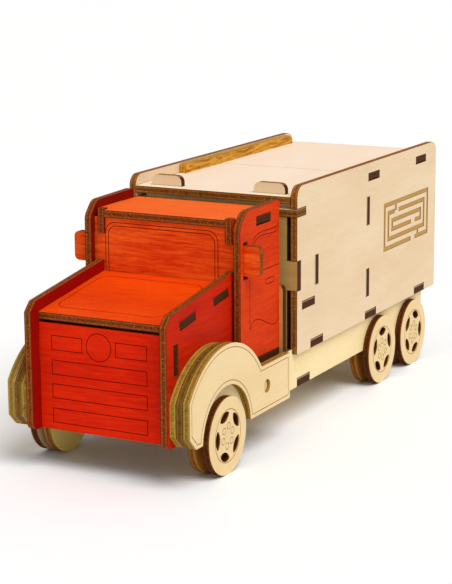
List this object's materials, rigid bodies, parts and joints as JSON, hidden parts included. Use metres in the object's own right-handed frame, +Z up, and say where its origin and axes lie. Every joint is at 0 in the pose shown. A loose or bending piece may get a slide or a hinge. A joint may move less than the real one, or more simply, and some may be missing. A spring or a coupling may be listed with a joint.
{
  "type": "wooden model lorry puzzle box",
  "caption": "Model lorry of laser-cut plywood sheets with a bonnet, cab and long cargo box, turning dowel axles, a lift-off lid and a sliding lock bar.",
  "frame": {"origin": "on the ground under the middle of the overall box", "axes": "+Z up, +Y towards the rear of the lorry, +X towards its left side"},
  "size_m": [0.0842, 0.2494, 0.1027],
  "materials": {
    "ply": "bare birch plywood, matt, with burnt brown laser-cut edges",
    "red_ply": "birch plywood stained orange-red, matt, with brown laser-cut edges",
    "golden_ply": "plywood, golden brown, matt",
    "dowel": "bare turned dowel"
  },
  "bodies": {
    "lorry_body": {"cab_back_panel": "ply", "cab_floor": "ply", "cab_roof": "red_ply", "cab_side_left": "red_ply", "cab_side_right": "red_ply", "cargo_floor": "ply", "cargo_front_wall": "ply", "cargo_rear_wall": "ply", "cargo_roof_rear": "ply", "cargo_side_left": "ply", "cargo_side_right": "ply", "chamber_front_wall": "ply", "chassis_plate": "ply", "chassis_rail_left": "ply", "chassis_rail_right": "ply", "fender_inner_left": "ply", "fender_inner_right": "ply", "fender_outer_left": "ply", "fender_outer_right": "ply", "grille_panel": "red_ply", "hood_side_left": "red_ply", "hood_side_right": "red_ply", "hood_top": "red_ply", "locating_tab_wall": "ply", "lock_shelf": "ply", "middle_wall": "ply", "roof_bracket_left": "red_ply", "roof_bracket_right": "red_ply", "roof_edge_strip": "golden_ply", "skirt_dowel": "dowel", "windscreen_panel": "red_ply"},
    "axle_set_front": {"axle_front": "dowel", "wheel_inner_front_left": "ply", "wheel_inner_front_right": "ply", "wheel_outer_front_left": "ply", "wheel_outer_front_right": "ply"},
    "axle_set_middle": {"axle_middle": "dowel", "wheel_inner_middle_left": "ply", "wheel_inner_middle_right": "ply", "wheel_outer_middle_left": "ply", "wheel_outer_middle_right": "ply"},
    "axle_set_rear": {"axle_rear": "dowel", "wheel_inner_rear_left": "ply", "wheel_inner_rear_right": "ply", "wheel_outer_rear_left": "ply", "wheel_outer_rear_right": "ply"},
    "lid": {"lid_panel": "ply", "lid_edge_strip": "golden_ply"},
    "lock_bar": {"front_lock_bar": "ply"}
  },
  "joints": [
    {"name": "axle_front_spin", "type": "hinge", "parent": "lorry_body", "child": "axle_set_front", "pos_m": [0, -0.09386, 0.0154], "axis": [1, 0, 0], "continuous": true},
    {"name": "axle_middle_spin", "type": "hinge", "parent": "lorry_body", "child": "axle_set_middle", "pos_m": [0, 0.0588, 0.0154], "axis": [1, 0, 0], "continuous": true},
    {"name": "axle_rear_spin", "type": "hinge", "parent": "lorry_body", "child": "axle_set_rear", "pos_m": [0, 0.0963, 0.0154], "axis": [1, 0, 0], "continuous": true},
    {"name": "lid_lift", "type": "slide", "parent": "lorry_body", "child": "lid", "axis": [0, 0, 1], "range_m": [0, 0.045]},
    {"name": "lock_bar_slide", "type": "slide", "parent": "lorry_body", "child": "lock_bar", "axis": [0, -1, 0], "range_m": [0, 0.005]}
  ]
}
